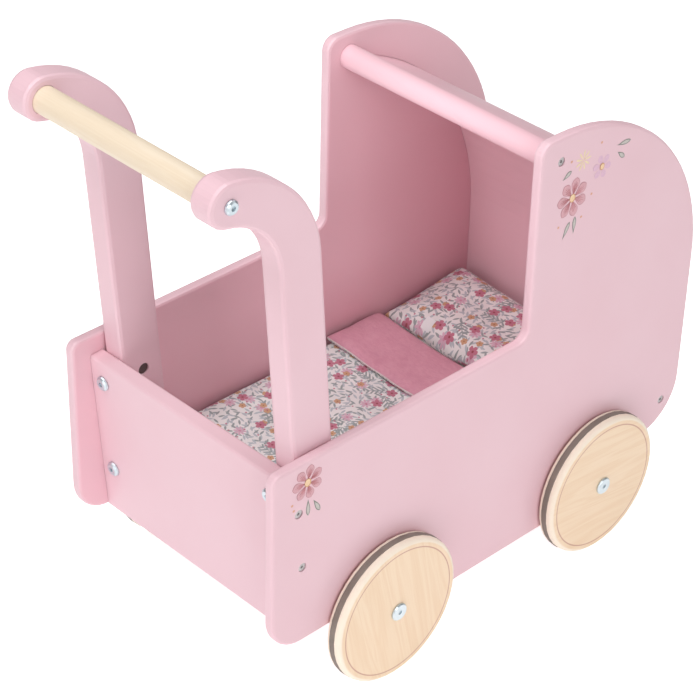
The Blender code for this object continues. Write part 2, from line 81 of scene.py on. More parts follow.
class Graph:
    """Short calls that add nodes to a material and give back their output sockets."""

    def __init__(self, name):
        self.material = bpy.data.materials.new(name)
        self.material.use_nodes = True
        self.tree = self.material.node_tree
        self.shader = self.tree.nodes["Principled BSDF"]

    def node(self, kind, inputs=None, **settings):
        node = self.tree.nodes.new("ShaderNode" + kind)
        for key, value in settings.items():
            setattr(node, key, value)
        for key, value in (inputs or {}).items():
            self.feed(node.inputs[key], value)
        return node

    def feed(self, socket, value):
        if isinstance(value, bpy.types.NodeSocket):
            self.tree.links.new(value, socket)
        else:
            socket.default_value = value

    def set(self, **values):
        """Principled inputs, with spaces in their names written as underscores."""
        for key, value in values.items():
            self.feed(self.shader.inputs[key.replace("_", " ")], value)

    def math(self, operation, a, b=0.0, c=0.0):
        return self.node("Math", {0: a, 1: b, 2: c}, operation=operation).outputs[0]

    def ramp(self, value, low, high, to_low=0.0, to_high=1.0):
        """Smooth step of a value from one range to another."""
        inputs = {"Value": value, "From Min": low, "From Max": high, "To Min": to_low, "To Max": to_high}
        return self.node("MapRange", inputs, interpolation_type="SMOOTHSTEP").outputs[0]

    def mix(self, factor, a, b):
        node = self.node("Mix", data_type="RGBA")
        for socket, value in zip((node.inputs[0], node.inputs[6], node.inputs[7]), (factor, a, b)):
            self.feed(socket, value)
        return node.outputs[2]

    def xyz(self, vector):
        return self.node("SeparateXYZ", {0: vector}).outputs

    def join(self, x, y, z):
        return self.node("CombineXYZ", {0: x, 1: y, 2: z}).outputs[0]

    def place(self):
        """Position in the model, in metres."""
        return self.node("TexCoord").outputs["Object"]

    def mapped(self, vector, location=(0, 0, 0), scale=(1, 1, 1)):
        return self.node("Mapping", {"Vector": vector, "Location": location, "Scale": scale}).outputs[0]

    def noise(self, vector, scale, detail=3.0, roughness=0.55, distortion=0.0):
        inputs = {"Vector": vector, "Scale": scale, "Detail": detail, "Roughness": roughness,
                  "Distortion": distortion}
        return self.node("TexNoise", inputs).outputs[0]

    def bump(self, height, distance, strength):
        return self.node("Bump", {"Height": height, "Distance": distance, "Strength": strength}).outputs[0]

    def cloth(self):
        """Position on the flat cloth, in metres."""
        return self.node("UVMap", uv_map="cloth").outputs[0]


# Painted, wooden and metal parts
PAINT_DARK = srgb(231, 188, 198)
PAINT_LIGHT = srgb(233, 192, 202)
# Painted shade: a more saturated pink for the side panels' inner faces and the hood parts between them
INNER_PAINTED_SHADE = srgb(236, 186, 197)
INNER_SHADE_FADE = 0.5 * MM
BIRCH_LIGHT = srgb(247, 219, 187)
BIRCH_DARK = srgb(240, 206, 170)
PORE_BROWN = srgb(208, 164, 120)
RIM_CREAM = srgb(254, 242, 224)
RIM_START = 60.5 * MM
RIM_FULL = 62 * MM
LINE_PINK = srgb(196, 138, 122)
LINE_RADIUS = 57.4 * MM
WHEEL_TURNS = {"wheel_rear_right": 0.22, "wheel_front_right": 1.45, "wheel_rear_left": 0.9,
               "wheel_front_left": 2.3}


def paint_material(name, inner=False):
    """Satin lacquer on smooth board with faint orange peel; with inner set, everything between the side walls
    is tinted a more saturated pink as painted shade.
    """
    g = Graph(name)
    place = g.place()
    tone = g.ramp(g.noise(place, 9, 2), 0.3, 0.7)
    colour = g.mix(tone, PAINT_DARK, PAINT_LIGHT)
    # Painted shade: between the side walls the colour turns to the more saturated pink
    if inner:
        across = g.math("ABSOLUTE", g.xyz(place)[0])
        inner_painted_shade = g.ramp(across, INNER_WALL_X - INNER_SHADE_FADE, INNER_WALL_X + INNER_SHADE_FADE, 1, 0)
        colour = g.mix(inner_painted_shade, colour, INNER_PAINTED_SHADE)
    g.set(Base_Color=colour, Specular_IOR_Level=0.45,
          Roughness=g.ramp(g.noise(place, 60, 3), 0.3, 0.7, 0.36, 0.44),
          Normal=g.bump(g.noise(place, 700, 2), 0.02 * MM, 0.5))
    return g.material


def grain(g, axes, light, dark, bands, seed):
    """Wood grain in axes whose X runs along the grain; gives its colour and height."""
    along = g.mapped(axes, location=(seed, 2.3 * seed, 1.7 * seed))
    slow = g.noise(g.mapped(along, scale=(3, 38, 38)), 1, 3, 0.5, 0.6)
    rings = g.math("PINGPONG", g.math("FRACT", g.math("MULTIPLY", slow, bands)), 0.5)
    rings = g.ramp(rings, 0.0, 0.5)
    streaks = g.noise(g.mapped(along, scale=(25, 900, 900)), 1, 3, 0.6)
    pores = g.noise(g.mapped(along, scale=(90, 2600, 2600)), 1, 2, 0.5)
    amount = g.math("ADD", g.math("MULTIPLY", rings, 0.3), g.math("MULTIPLY", streaks, 0.7))
    colour = g.mix(g.ramp(amount, 0.2, 0.9), light, dark)
    colour = g.mix(g.ramp(pores, 0.62, 0.78, 0, 0.12), colour, PORE_BROWN)
    height = g.math("ADD", g.math("MULTIPLY", streaks, 0.6), g.math("MULTIPLY", pores, 0.4))
    return colour, height


def wheel_material(name, centre, angle, seed):
    """Birch disc with a thin line printed round its face."""
    g = Graph(name)
    place = g.mapped(g.place(), location=(0, -centre.y, -centre.z))
    turned = g.node("VectorRotate", {"Vector": place, "Angle": angle}, rotation_type="X_AXIS").outputs[0]
    x, y, z = g.xyz(turned)
    colour, height = grain(g, g.join(z, y, x), BIRCH_LIGHT, BIRCH_DARK, 9, seed)
    radius = g.math("SQRT", g.math("ADD", g.math("MULTIPLY", y, y), g.math("MULTIPLY", z, z)))
    off = g.math("ABSOLUTE", g.math("SUBTRACT", radius, LINE_RADIUS))
    facing = g.math("ABSOLUTE", g.xyz(g.node("NewGeometry").outputs["Normal"])[0])
    flat_face = g.math("GREATER_THAN", facing, 0.9)
    line = g.math("MULTIPLY", g.ramp(off, 0.3 * MM, 0.8 * MM, 1, 0), flat_face)
    rim = g.ramp(radius, RIM_START, RIM_FULL)
    colour = g.mix(g.math("MULTIPLY", rim, 0.75), colour, RIM_CREAM)
    colour = g.mix(g.math("MULTIPLY", line, 0.8), colour, LINE_PINK)
    g.set(Base_Color=colour, Roughness=0.5, Specular_IOR_Level=0.35,
          Normal=g.bump(g.math("SUBTRACT", height, line), 0.05 * MM, 0.5))
    return g.material


def bar_material():
    """Pale wood whose grain runs along the bar."""
    g = Graph("cream_wood")
    colour, height = grain(g, g.place(), srgb(238, 220, 196), srgb(231, 209, 180), 5, 4.0)
    g.set(Base_Color=colour, Roughness=0.5, Specular_IOR_Level=0.35, Normal=g.bump(height, 0.05 * MM, 0.5))
    return g.material


def rubber_material():
    g = Graph("grey_rubber")
    place = g.place()
    tone = g.ramp(g.noise(place, 45, 3), 0.3, 0.7)
    g.set(Base_Color=g.mix(tone, srgb(116, 104, 95), srgb(128, 116, 107)), Roughness=0.72,
          Normal=g.bump(g.noise(place, 1500, 2), 0.03 * MM, 0.6))
    return g.material


def steel_material(name, colour, roughness):
    g = Graph(name)
    place = g.place()
    smear = g.ramp(g.noise(place, 350, 3), 0.3, 0.7, roughness, roughness + 0.14)
    g.set(Base_Color=colour, Metallic=1.0, Roughness=smear,
          Normal=g.bump(g.noise(place, 2500, 2), 0.01 * MM, 0.5))
    return g.material


def nylon_material():
    g = Graph("white_nylon")
    place = g.place()
    tone = g.ramp(g.noise(place, 200, 2), 0.3, 0.7)
    g.set(Base_Color=g.mix(tone, srgb(233, 233, 230), srgb(240, 240, 238)), Roughness=0.45,
          Normal=g.bump(g.noise(place, 1200, 2), 0.01 * MM, 0.4))
    return g.material


def dress(node, material):
    mesh = NODES[node].data
    mesh.materials.clear()
    mesh.materials.append(material)


def dress_frame():
    """A finish for every hard part, by how its name starts."""
    paint = paint_material("pink_paint")
    # Side panels and hood parts: paint with painted shade between the side walls
    wall_paint_and_shade = paint_material("pink_paint_and_inner_shade", inner=True)
    steel = steel_material("bright_steel", srgb(206, 219, 226), 0.3)
    dull_steel = steel_material("dull_steel", srgb(186, 182, 182), 0.42)
    # Painted shade: the barrel nuts' steel is darkened to stand for the shade in the holes they sit in
    painted_shade_steel = steel_material("painted_shade_steel", srgb(98, 88, 86), 0.4)
    rubber = rubber_material()
    nylon = nylon_material()
    dress("handle_bar", bar_material())
    by_start = {"side_panel": wall_paint_and_shade, "handle_post": paint, "rear_panel": paint, "hood_": wall_paint_and_shade,
                "front_dowel": paint, "base_board": paint, "tyre_": rubber, "washer_": nylon,
                "axle_": steel, "barrel_nut": painted_shade_steel, "handle_screw": steel, "rear_bolt": steel,
                "side_screw": dull_steel, "wheel_cap": steel}
    for name in NODES:
        for start, material in by_start.items():
            if name.startswith(start):
                dress(name, material)
    for index, (name, angle) in enumerate(WHEEL_TURNS.items()):
        dress(name, wheel_material("birch_" + name, box_of(name)[2], angle, 3.1 * index))


# Cloth
COTTON = srgb(240, 239, 237)
COTTON_SHADE = srgb(230, 228, 227)
RASPBERRY = srgb(188, 112, 132)
MUSTARD = srgb(200, 154, 118)
ROSE = srgb(214, 174, 192)
SPRIG_GREEN = srgb(148, 158, 157)
LEAF_BLUE = srgb(182, 190, 196)
LEAF_LAYERS = ((7 * MM, 0.31), (7.6 * MM, 0.87), (8.4 * MM, 1.19))
# Spacing, seed, radius, petals, notch, share of places used, petal ink and eye ink
FLOWER_LAYERS = (
    (21 * MM, 2.09, 5.6 * MM, 8, 0.15, 0.65, ROSE, srgb(206, 140, 164)),
    (18 * MM, 2.77, 3.4 * MM, 5, 0.6, 0.62, MUSTARD, srgb(168, 112, 84)),
    (22 * MM, 3.61, 5.1 * MM, 5, 0.5, 0.72, RASPBERRY, srgb(150, 76, 84)),
)


def weave(g, cloth, pitch):
    """Height of a plain weave whose threads lie a pitch apart."""
    waves = [g.math("SINE", g.math("MULTIPLY", axis, 2 * math.pi / pitch)) for axis in g.xyz(cloth)[:2]]
    return g.math("MULTIPLY", waves[0], waves[1])


def scatter(g, cloth, pitch, seed):
    """Place relative to the nearest motif's centre, turned at random, and that motif's random numbers."""
    shifted = g.mapped(cloth, location=(seed, 1.7 * seed, 0))
    cell = g.node("TexVoronoi", {"Vector": shifted, "Scale": 1 / pitch, "Randomness": 0.72},
                  voronoi_dimensions="2D")
    offset = g.node("VectorMath", {0: shifted, 1: cell.outputs["Position"]}, operation="SUBTRACT").outputs[0]
    picks = g.node("SeparateColor", {0: cell.outputs["Color"]}).outputs
    angle = g.math("MULTIPLY", picks[0], 2 * math.pi)
    turned = g.node("VectorRotate", {"Vector": offset, "Angle": angle}, rotation_type="Z_AXIS").outputs[0]
    x, y, _ = g.xyz(turned)
    return x, y, picks


def flower(g, x, y, radius, petals, notch):
    """Masks of a flower's petals and of its eye."""
    away = g.math("SQRT", g.math("ADD", g.math("MULTIPLY", x, x), g.math("MULTIPLY", y, y)))
    lobe = g.math("ABSOLUTE", g.math("COSINE", g.math("MULTIPLY", g.math("ARCTAN2", y, x), petals / 2)))
    reach = g.math("MULTIPLY_ADD", g.math("SQRT", lobe), radius * (1 - notch), radius * notch)
    petals_mask = g.ramp(g.math("SUBTRACT", away, reach), -0.3 * MM, 0.2 * MM, 1, 0)
    return petals_mask, g.ramp(away, 0.16 * radius, 0.26 * radius, 1, 0)


def leaf(g, x, y, half_length, half_width):
    """Mask of a pointed leaf that lies along X."""
    along = g.math("DIVIDE", x, half_length)
    reach = g.math("MULTIPLY_ADD", g.math("MULTIPLY", along, along), -half_width, half_width)
    return g.ramp(g.math("SUBTRACT", g.math("ABSOLUTE", y), reach), -0.25 * MM, 0.15 * MM, 1, 0)


def sprig(g, x, y):
    """Mask of a stem with slanting leaves in pairs."""
    side = g.math("ABSOLUTE", y)
    slanted = g.math("MULTIPLY_ADD", side, -0.95, x)
    phase = g.math("ABSOLUTE", g.math("SUBTRACT", g.math("FRACT", g.math("DIVIDE", slanted, 4.3 * MM)), 0.5))
    blade = g.ramp(phase, 0.2, 0.3, 1, 0)
    near = g.ramp(g.math("ADD", side, g.math("MULTIPLY", g.math("ABSOLUTE", x), 0.2)), 5 * MM, 5.8 * MM, 1, 0)
    stem = g.ramp(side, 0.25 * MM, 0.5 * MM, 1, 0)
    within = g.ramp(g.math("ABSOLUTE", x), 9.5 * MM, 10.3 * MM, 1, 0)
    return g.math("MULTIPLY", g.math("MAXIMUM", g.math("MULTIPLY", blade, near), stem), within)


def kept(g, pick, share):
    """One for a share of the motifs, and zero for the rest."""
    return g.math("LESS_THAN", pick, share)


def floral_material():
    """Small flowers, sprigs and leaves printed on off-white cotton."""
    g = Graph("floral_cotton")
    cloth = g.cloth()
    colour = g.mix(g.ramp(g.noise(cloth, 30, 2), 0.3, 0.7), COTTON, COTTON_SHADE)

    def add(mask, pick, share, ink):
        nonlocal colour
        colour = g.mix(g.math("MULTIPLY", mask, kept(g, pick, share)), colour, ink)

    for pitch, seed in LEAF_LAYERS:
        x, y, picks = scatter(g, cloth, pitch, seed)
        ink = g.mix(kept(g, picks[1], 0.45), LEAF_BLUE, SPRIG_GREEN)
        add(leaf(g, x, y, 3.6 * MM, 1.05 * MM), picks[2], 0.9, ink)
    x, y, picks = scatter(g, cloth, 25 * MM, 1.43)
    add(sprig(g, x, y), picks[2], 0.45, SPRIG_GREEN)
    for pitch, seed, radius, petals, notch, share, ink, eye_ink in FLOWER_LAYERS:
        x, y, picks = scatter(g, cloth, pitch, seed)
        petal_mask, eye_mask = flower(g, x, y, radius, petals, notch)
        add(petal_mask, picks[2], share, ink)
        add(eye_mask, picks[2], share, eye_ink)
    x, y, picks = scatter(g, cloth, 11 * MM, 4.19)
    add(flower(g, x, y, 0.9 * MM, 1, 1.0)[0], picks[2], 0.5, RASPBERRY)
    height = g.math("MULTIPLY_ADD", weave(g, cloth, 0.55 * MM), 0.25, g.noise(cloth, 170, 3))
    g.set(Base_Color=colour, Roughness=0.92, Specular_IOR_Level=0.12, Sheen_Weight=0.12, Sheen_Roughness=0.5,
          Normal=g.bump(height, 0.35 * MM, 0.6))
    return g.material


def muslin_material():
    """Double gauze: soft crinkles that run across the blanket."""
    g = Graph("rose_muslin")
    cloth = g.cloth()
    crinkle = g.noise(g.mapped(cloth, scale=(190, 330, 1)), 1, 4, 0.6, 0.8)
    # Partly random tone, partly painted shade: the colour is darker in the crinkles' hollows, from the same
    # noise as their height
    tone_and_crinkle_shade = g.math("MULTIPLY_ADD", g.noise(cloth, 40, 2), 0.4, g.math("MULTIPLY", crinkle, 0.6))
    tone = g.ramp(tone_and_crinkle_shade, 0.3, 0.7)
    height = g.math("MULTIPLY_ADD", weave(g, cloth, 0.8 * MM), 0.15, crinkle)
    g.set(Base_Color=g.mix(tone, srgb(211, 141, 161), srgb(224, 159, 177)), Roughness=0.95,
          Specular_IOR_Level=0.1, Sheen_Weight=0.15, Sheen_Roughness=0.5,
          Normal=g.bump(height, 0.8 * MM, 0.9))
    return g.material


def plain_material(name, light, dark):
    """Plain woven cotton, a little uneven in colour."""
    g = Graph(name)
    cloth = g.cloth()
    height = g.math("MULTIPLY_ADD", weave(g, cloth, 0.6 * MM), 0.3, g.noise(cloth, 140, 3))
    g.set(Base_Color=g.mix(g.ramp(g.noise(cloth, 35, 3), 0.3, 0.7), light, dark), Roughness=0.92,
          Specular_IOR_Level=0.12, Normal=g.bump(height, 0.4 * MM, 0.6))
    return g.material


def smooth(value, low, high):
    """Smooth step from 0 at low to 1 at high."""
    share = min(1.0, max(0.0, (value - low) / (high - low)))
    return share * share * (3 - 2 * share)


def stations(length, step, border):
    """Distances along a length, closer together inside the border at each end."""
    count = max(1, round((length - 2 * border) / step))
    middle = [border + (length - 2 * border) * i / count for i in range(count + 1)]
    edge = [border * share for share in (0, 0.06, 0.2, 0.42, 0.7)]
    return edge + middle + [length - d for d in reversed(edge)]


def along_path(path, distances):
    """Points and tangents at distances along a polyline of (y, z) points."""
    found = []
    i, start = 0, 0.0
    for distance in distances:
        while i < len(path) - 2 and distance > start + (path[i + 1] - path[i]).length:
            start += (path[i + 1] - path[i]).length
            i += 1
        step = path[i + 1] - path[i]
        found.append((path[i] + step.normalized() * (distance - start), step.normalized()))
    return found


def first_material(face, row, length):
    return 0


def closed_pad(name, path, half_width, step, thickness, border, materials, index_of=first_material):
    """Two cloth faces along a path in YZ, sewn together all round, with the cloth's own metres as UVs."""
    length = sum((b - a).length for a, b in zip(path, path[1:]))
    rows = stations(length, step, border)
    columns = stations(2 * half_width, step, border)
    work = bmesh.new()
    layer = work.loops.layers.uv.new("cloth")
    place = {}
    for i, (point, tangent) in enumerate(along_path(path, rows)):
        for j, across in enumerate(columns):
            edge = min(rows[i], length - rows[i], across, 2 * half_width - across)
            share = min(1.0, max(0.0, edge / border))
            half = thickness / 2 * math.sqrt(1 - (1 - share) ** 2)
            for face in ((1, -1) if half > 0 else (0,)):
                y, z = point + Vector((tangent.y, -tangent.x)) * face * half
                place[i, j, face] = work.verts.new((half_width - across, y, z))
    for face in (1, -1):
        for i in range(len(rows) - 1):
            for j in range(len(columns) - 1):
                corners = [(i, j), (i + 1, j), (i + 1, j + 1), (i, j + 1)]
                made = work.faces.new([place.get((*c, face)) or place[(*c, 0)] for c in corners[::face]])
                made.material_index = index_of(face, rows[i], length)
                made.smooth = True
                for loop, (row, column) in zip(made.loops, corners[::face]):
                    loop[layer].uv = (columns[column] + (1 - face) / 2, rows[row])
    bmesh.ops.recalc_face_normals(work, faces=work.faces)
    mesh = bpy.data.meshes.new(name)
    work.to_mesh(mesh)
    work.free()
    for material in materials:
        mesh.materials.append(material)
    return add_object(name, mesh), length


def ruffle(piece, size, scale, seed):
    """Uneven the surface a little, so that the cloth does not stretch evenly."""
    for vertex in piece.data.vertices:
        vertex.co.z += size * noise.noise(vertex.co * scale + Vector((seed, 0, 0)))


def inflate(piece, pressure, cap):
    """Blow the sewn faces up as cloth, with no gravity; no point moves further than the cap."""
    start = [vertex.co.copy() for vertex in piece.data.vertices]
    modifier = piece.modifiers.new("cloth", "CLOTH")
    settings = modifier.settings
    settings.quality = 6
    settings.mass = 0.3
    settings.tension_stiffness = 15
    settings.compression_stiffness = 15
    settings.shear_stiffness = 5
    settings.bending_stiffness = 0.5
    settings.use_pressure = True
    settings.uniform_pressure_force = pressure
    settings.effector_weights.gravity = 0
    modifier.collision_settings.use_collision = False
    modifier.point_cache.frame_end = CLOTH_FRAMES
    scene = bpy.context.scene
    for number in range(1, CLOTH_FRAMES + 1):
        scene.frame_set(number)
    blown = piece.evaluated_get(bpy.context.evaluated_depsgraph_get()).data
    ends = [vertex.co.copy() for vertex in blown.vertices]
    piece.modifiers.remove(modifier)
    scene.frame_set(1)
    for vertex, first, last in zip(piece.data.vertices, start, ends):
        move = last - first
        vertex.co = first + move * min(1.0, cap / max(move.length, 1e-9))


def fit_flat(piece, low, high):
    """Stretch to a box's sides and front, and press everything that is too low or too high flat."""
    vertices = piece.data.vertices
    for axis in (0, 1):
        least = min(v.co[axis] for v in vertices)
        most = max(v.co[axis] for v in vertices)
        for v in vertices:
            v.co[axis] = low[axis] + (v.co[axis] - least) * (high[axis] - low[axis]) / (most - least)
    for v in vertices:
        v.co.z = min(high.z, max(low.z, v.co.z))


def far_rise(x):
    """How far the bedding rides up the left wall, as it is a little too wide for the body."""
    return FAR_LIFT * smooth(x, FAR_START, FAR_END)


def lift_far_edge(piece):
    for vertex in piece.data.vertices:
        vertex.co.z += far_rise(vertex.co.x)


def subdivide(piece):
    modifier = piece.modifiers.new("subdivision", "SUBSURF")
    modifier.levels = 1
    modifier.render_levels = 1


# Bedding
CLOTH_FRAMES = 20
FAR_LIFT = 8 * MM
FAR_START = 10 * MM
FAR_END = MATTRESS_HIGH.x + 30 * MM
MATTRESS_ROUND = 10 * MM
BLANKET_THICK = 7.2 * MM
BLANKET_BEND = 4.2 * MM
BLANKET_FOLD_Y = -271 * MM
BLANKET_BORDER = 6 * MM
FOLD_REACH = 3.5 * MM
HEM_WIDTH = 0.9 * MM
PILLOW_SEAM = 6 * MM
PILLOW_GROW = 1.02
PILLOW_THICK = 19 * MM
PILLOW_BORDER = 24 * MM
PILLOW_SPREAD = Vector((8 * MM, 2 * MM, 4 * MM))
PILLOW_TILT = 5 * MM
CREASE_X = 76 * MM
CREASE_WIDTH = 4 * MM
CREASE_DEPTH = 2.2 * MM
SAG_WIDTH = 14 * MM
SAG_DEPTH = 3.5 * MM
LABEL_X = 62 * MM
LABEL_WIDTH = 10 * MM
LABEL_LENGTH = 9.6 * MM
LABEL_THICK = 0.4 * MM
LABEL_INSET = 2.5 * MM
LABEL_GAP = 0.35 * MM


def make_mattress(plain):
    middle = MATTRESS_MID.z
    path = [Vector((MATTRESS_HIGH.y, middle)), Vector((MATTRESS_LOW.y, middle))]
    thickness = MATTRESS_HIGH.z - MATTRESS_LOW.z
    pad, _ = closed_pad("mattress_pad", path, MATTRESS_HIGH.x, 8 * MM, thickness, MATTRESS_ROUND, [plain])
    inflate(pad, 3, 3 * MM)
    fit_flat(pad, MATTRESS_LOW, MATTRESS_HIGH)
    for vertex in pad.data.vertices:
        rise = smooth(vertex.co.z, MATTRESS_LOW.z, MATTRESS_HIGH.z)
        vertex.co.z += rise * far_rise(vertex.co.x)
    subdivide(pad)
    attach(pad, "mattress")
    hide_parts("mattress")


def blanket_path():
    """Lower run from the foot end, a U-turn, and the upper run back over it."""
    low = BLANKET_LOW.z + BLANKET_THICK / 2
    turn_y = BLANKET_LOW.y - FOLD_REACH + BLANKET_BEND + BLANKET_THICK / 2
    path = [Vector((BLANKET_HIGH.y, low))]
    for i in range(9):
        angle = math.pi * i / 8
        path.append(Vector((turn_y - BLANKET_BEND * math.sin(angle),
                            low + BLANKET_BEND * (1 - math.cos(angle)))))
    path.append(Vector((REAR_EDGE + BLANKET_FOLD_Y, low + 2 * BLANKET_BEND)))
    return path


def make_blanket(floral, muslin, hem):
    def index_of(face, row, length):
        if face > 0:
            return 0
        return 2 if row > length - HEM_WIDTH else 1

    blanket, length = closed_pad("blanket_quilt", blanket_path(), BLANKET_HIGH.x, 5 * MM, BLANKET_THICK,
                                 BLANKET_BORDER, [floral, muslin, hem], index_of)
    ruffle(blanket, 0.5 * MM, 55, 3.3)
    inflate(blanket, 2, 1.0 * MM)
    ruffle(blanket, 0.9 * MM, 21, 8.1)
    for vertex in blanket.data.vertices:
        vertex.co.z = max(BLANKET_LOW.z, vertex.co.z)
    lift_far_edge(blanket)
    subdivide(blanket)
    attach(blanket, "blanket")
    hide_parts("blanket")


def sag_corner(pillow):
    """The far side of the pillow dips beyond a soft crease."""
    for vertex in pillow.data.vertices:
        x, y, z = vertex.co
        front = 1 - smooth(REAR_EDGE - y, 395 * MM, 425 * MM)
        lift = smooth(z, PILLOW_LOW.z + 3 * MM, PILLOW_HIGH.z)
        groove = math.exp(-((x - CREASE_X) / CREASE_WIDTH) ** 2)
        drop = smooth(x, CREASE_X, CREASE_X + SAG_WIDTH)
        vertex.co.z -= lift * front * (CREASE_DEPTH * groove + SAG_DEPTH * drop)


def make_pillow(floral):
    middle = PILLOW_LOW.z + PILLOW_SEAM
    half = (PILLOW_HIGH.y - PILLOW_LOW.y) / 2 * PILLOW_GROW
    path = [Vector((PILLOW_MID.y + half, middle)), Vector((PILLOW_MID.y - half, middle))]
    pillow, _ = closed_pad("pillow_cushion", path, PILLOW_HIGH.x * PILLOW_GROW, 4 * MM, PILLOW_THICK,
                           PILLOW_BORDER, [floral])
    ruffle(pillow, 1.0 * MM, 30, 5.7)
    inflate(pillow, 2, 3.5 * MM)
    top = max(v.co.z for v in pillow.data.vertices)
    scale = (PILLOW_HIGH.z + PILLOW_SPREAD.z - middle) / (top - middle)
    for vertex in pillow.data.vertices:
        if vertex.co.z > middle:
            vertex.co.z = middle + (vertex.co.z - middle) * scale
    sag_corner(pillow)
    low = Vector((*(PILLOW_LOW - PILLOW_SPREAD).xy, PILLOW_LOW.z))
    fit_flat(pillow, low, PILLOW_HIGH + PILLOW_SPREAD)
    lift_far_edge(pillow)
    for vertex in pillow.data.vertices:
        vertex.co.z += PILLOW_TILT * smooth(PILLOW_HIGH.y - vertex.co.y, 0, PILLOW_HIGH.y - PILLOW_LOW.y)
    subdivide(pillow)
    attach(pillow, "pillow")
    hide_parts("pillow")
    return pillow


def make_label(cotton, pillow):
    """Small blank label sewn into the pillow's rear seam, lying on its top."""
    tree = BVHTree.FromObject(pillow, bpy.context.evaluated_depsgraph_get())

    def top(x, y):
        hit = tree.ray_cast(Vector((x, y, 1)), Vector((0, 0, -1)))[0]
        return (hit or tree.find_nearest(Vector((x, y, PILLOW_HIGH.z)))[0]).z

    rear = max(v.co.y for v in pillow.data.vertices if abs(v.co.x - LABEL_X) < LABEL_WIDTH) - LABEL_INSET
    places = [rear - LABEL_LENGTH * i / 6 for i in range(7)]
    path = [Vector((y, top(LABEL_X, y))) for y in places]
    label, length = closed_pad("pillow_label", path, LABEL_WIDTH / 2, 1.2 * MM, LABEL_THICK, 0.3 * MM,
                               [cotton])
    for vertex in label.data.vertices:
        x, y, z = vertex.co
        vertex.co = (x + LABEL_X, y, z + top(x + LABEL_X, y) - top(LABEL_X, y) + LABEL_GAP)
    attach(label, "pillow")


def make_bedding():
    floral = floral_material()
    make_mattress(plain_material("plain_cotton", srgb(232, 224, 220), srgb(240, 234, 230)))
    hem = plain_material("hem_cotton", srgb(222, 210, 208), srgb(232, 222, 218))
    make_blanket(floral, muslin_material(), hem)
    pillow = make_pillow(floral)
    make_label(plain_material("label_cotton", srgb(236, 238, 238), srgb(244, 246, 246)), pillow)


# Printed flowers on the side panels; places are (y, z) from the panels' rear edge and the floor
PRINT_THICKNESS = 0.05 * MM
PRINT_STEP = 0.09 * MM
PRINT_STAGGER = 0.01 * MM
PRINT_GAP = 0.03 * MM
OUTLINE_POINTS = 22
PETAL_SHARE = 0.54
VEIN_WIDTH = 0.45 * MM
VEINS = ((-0.3, 0.6), (-0.15, 0.72), (0, 0.8), (0.15, 0.72), (0.3, 0.6))
STAR_WIDTH = 1.6 * MM
LILAC_WIDTH = 6 * MM
LEAF_WIDTH = 4.2 * MM
BIG_FLOWERS = (((-309.9, 359.5), 17.5), ((-34.5, 225.8), 15.5))
STAR = (-319.5, 389.2)
LILAC = (-342.5, 375.2)
LEAVES = (
    ((-359, 387.6), (-375.1, 386.9)), ((-360.2, 381.4), (-369.1, 373.7)), ((-296.6, 379.6), (-306.5, 384.8)),
    ((-314.3, 325.7), (-314.9, 341.1)), ((-301.8, 325.3), (-309.1, 338.6)),
    ((-35.1, 210.2), (-35.3, 194.6)), ((-40.6, 206.7), (-47.3, 193.7)),
)
DOTS = ((-339.8, 397.3), (-305.6, 392.9), (-332.6, 354.5), (-322.4, 337.8), (-296.1, 338.3),
        (-19.1, 211.8), (-20.8, 206.2))
INKS = {
    "petal_edge": (192, 124, 134), "petal": (216, 158, 167), "vein": (184, 100, 106),
    "eye": (246, 206, 160), "eye_shade": (214, 152, 98), "star": (246, 222, 172), "lilac": (226, 180, 203),
    "leaf_edge": (118, 124, 114), "leaf": (196, 188, 182), "dot": (226, 160, 128),
}


def ink_material(name, colour):
    """Thin screen-print ink with a slightly uneven coat."""
    g = Graph("print_" + name)
    place = g.place()
    darker = srgb(*(0.965 * value for value in colour))
    g.set(Base_Color=g.mix(g.ramp(g.noise(place, 420, 3), 0.35, 0.65), srgb(*colour), darker), Roughness=0.42,
          Specular_IOR_Level=0.4, Normal=g.bump(g.noise(place, 900, 2), 0.01 * MM, 0.4))
    return g.material


def oval(centre, reach, width):
    """Outline of an oval along a reach from its centre."""
    across = Vector((-reach.y, reach.x)).normalized() * width
    turns = [2 * math.pi * i / OUTLINE_POINTS for i in range(OUTLINE_POINTS)]
    return [centre + reach * math.cos(a) + across * math.sin(a) for a in turns]


def petal(root, tip, width, inset=0.0):
    """Outline of a petal that widens from its root to a blunt tip."""
    reach = tip - root
    length = reach.length
    forward = reach / length
    across = Vector((-forward.y, forward.x))
    sides = []
    for i in range(1, OUTLINE_POINTS // 2):
        share = i / (OUTLINE_POINTS // 2)
        half = max(0.0, width / 2 * math.sin(math.pi * share ** 1.6) ** 0.7 - inset)
        sides.append((inset + (length - 2 * inset) * share, half))
    outline = [root + forward * inset]
    outline += [root + forward * along + across * half for along, half in sides]
    outline.append(tip - forward * inset)
    outline += [root + forward * along - across * half for along, half in reversed(sides)]
    return outline


def around(centre, count, inner, outer, turn):
    """Roots and tips of evenly spaced petals about a centre."""
    pairs = []
    for i in range(count):
        angle = turn + 2 * math.pi * i / count
        forward = Vector((math.cos(angle), math.sin(angle)))
        pairs.append((centre + forward * inner, centre + forward * outer))
    return pairs


def flower_shapes(centre, radius):
    """A seven-petalled flower's shapes from the bottom coat up, as (ink, coat, outline)."""
    shapes = []
    for root, tip in around(centre, 7, 2.6 * MM, radius, 0.9):
        reach = tip - root
        across = Vector((-reach.y, reach.x))
        shapes.append(("petal_edge", 0, petal(root, tip, PETAL_SHARE * radius)))
        shapes.append(("petal", 1, petal(root, tip, PETAL_SHARE * radius, 0.4 * MM)))
        for turn, share in VEINS:
            end = root + (reach * math.cos(turn) + across * math.sin(turn)) * share
            shapes.append(("vein", 2, petal(root, end, VEIN_WIDTH)))
    shapes.append(("eye_shade", 3, oval(centre, Vector((0, 3.7 * MM)), 3.3 * MM)))
    shapes.append(("eye", 4, oval(centre + Vector((0.4 * MM, 0.3 * MM)), Vector((0, 3.1 * MM)), 2.7 * MM)))
    return shapes


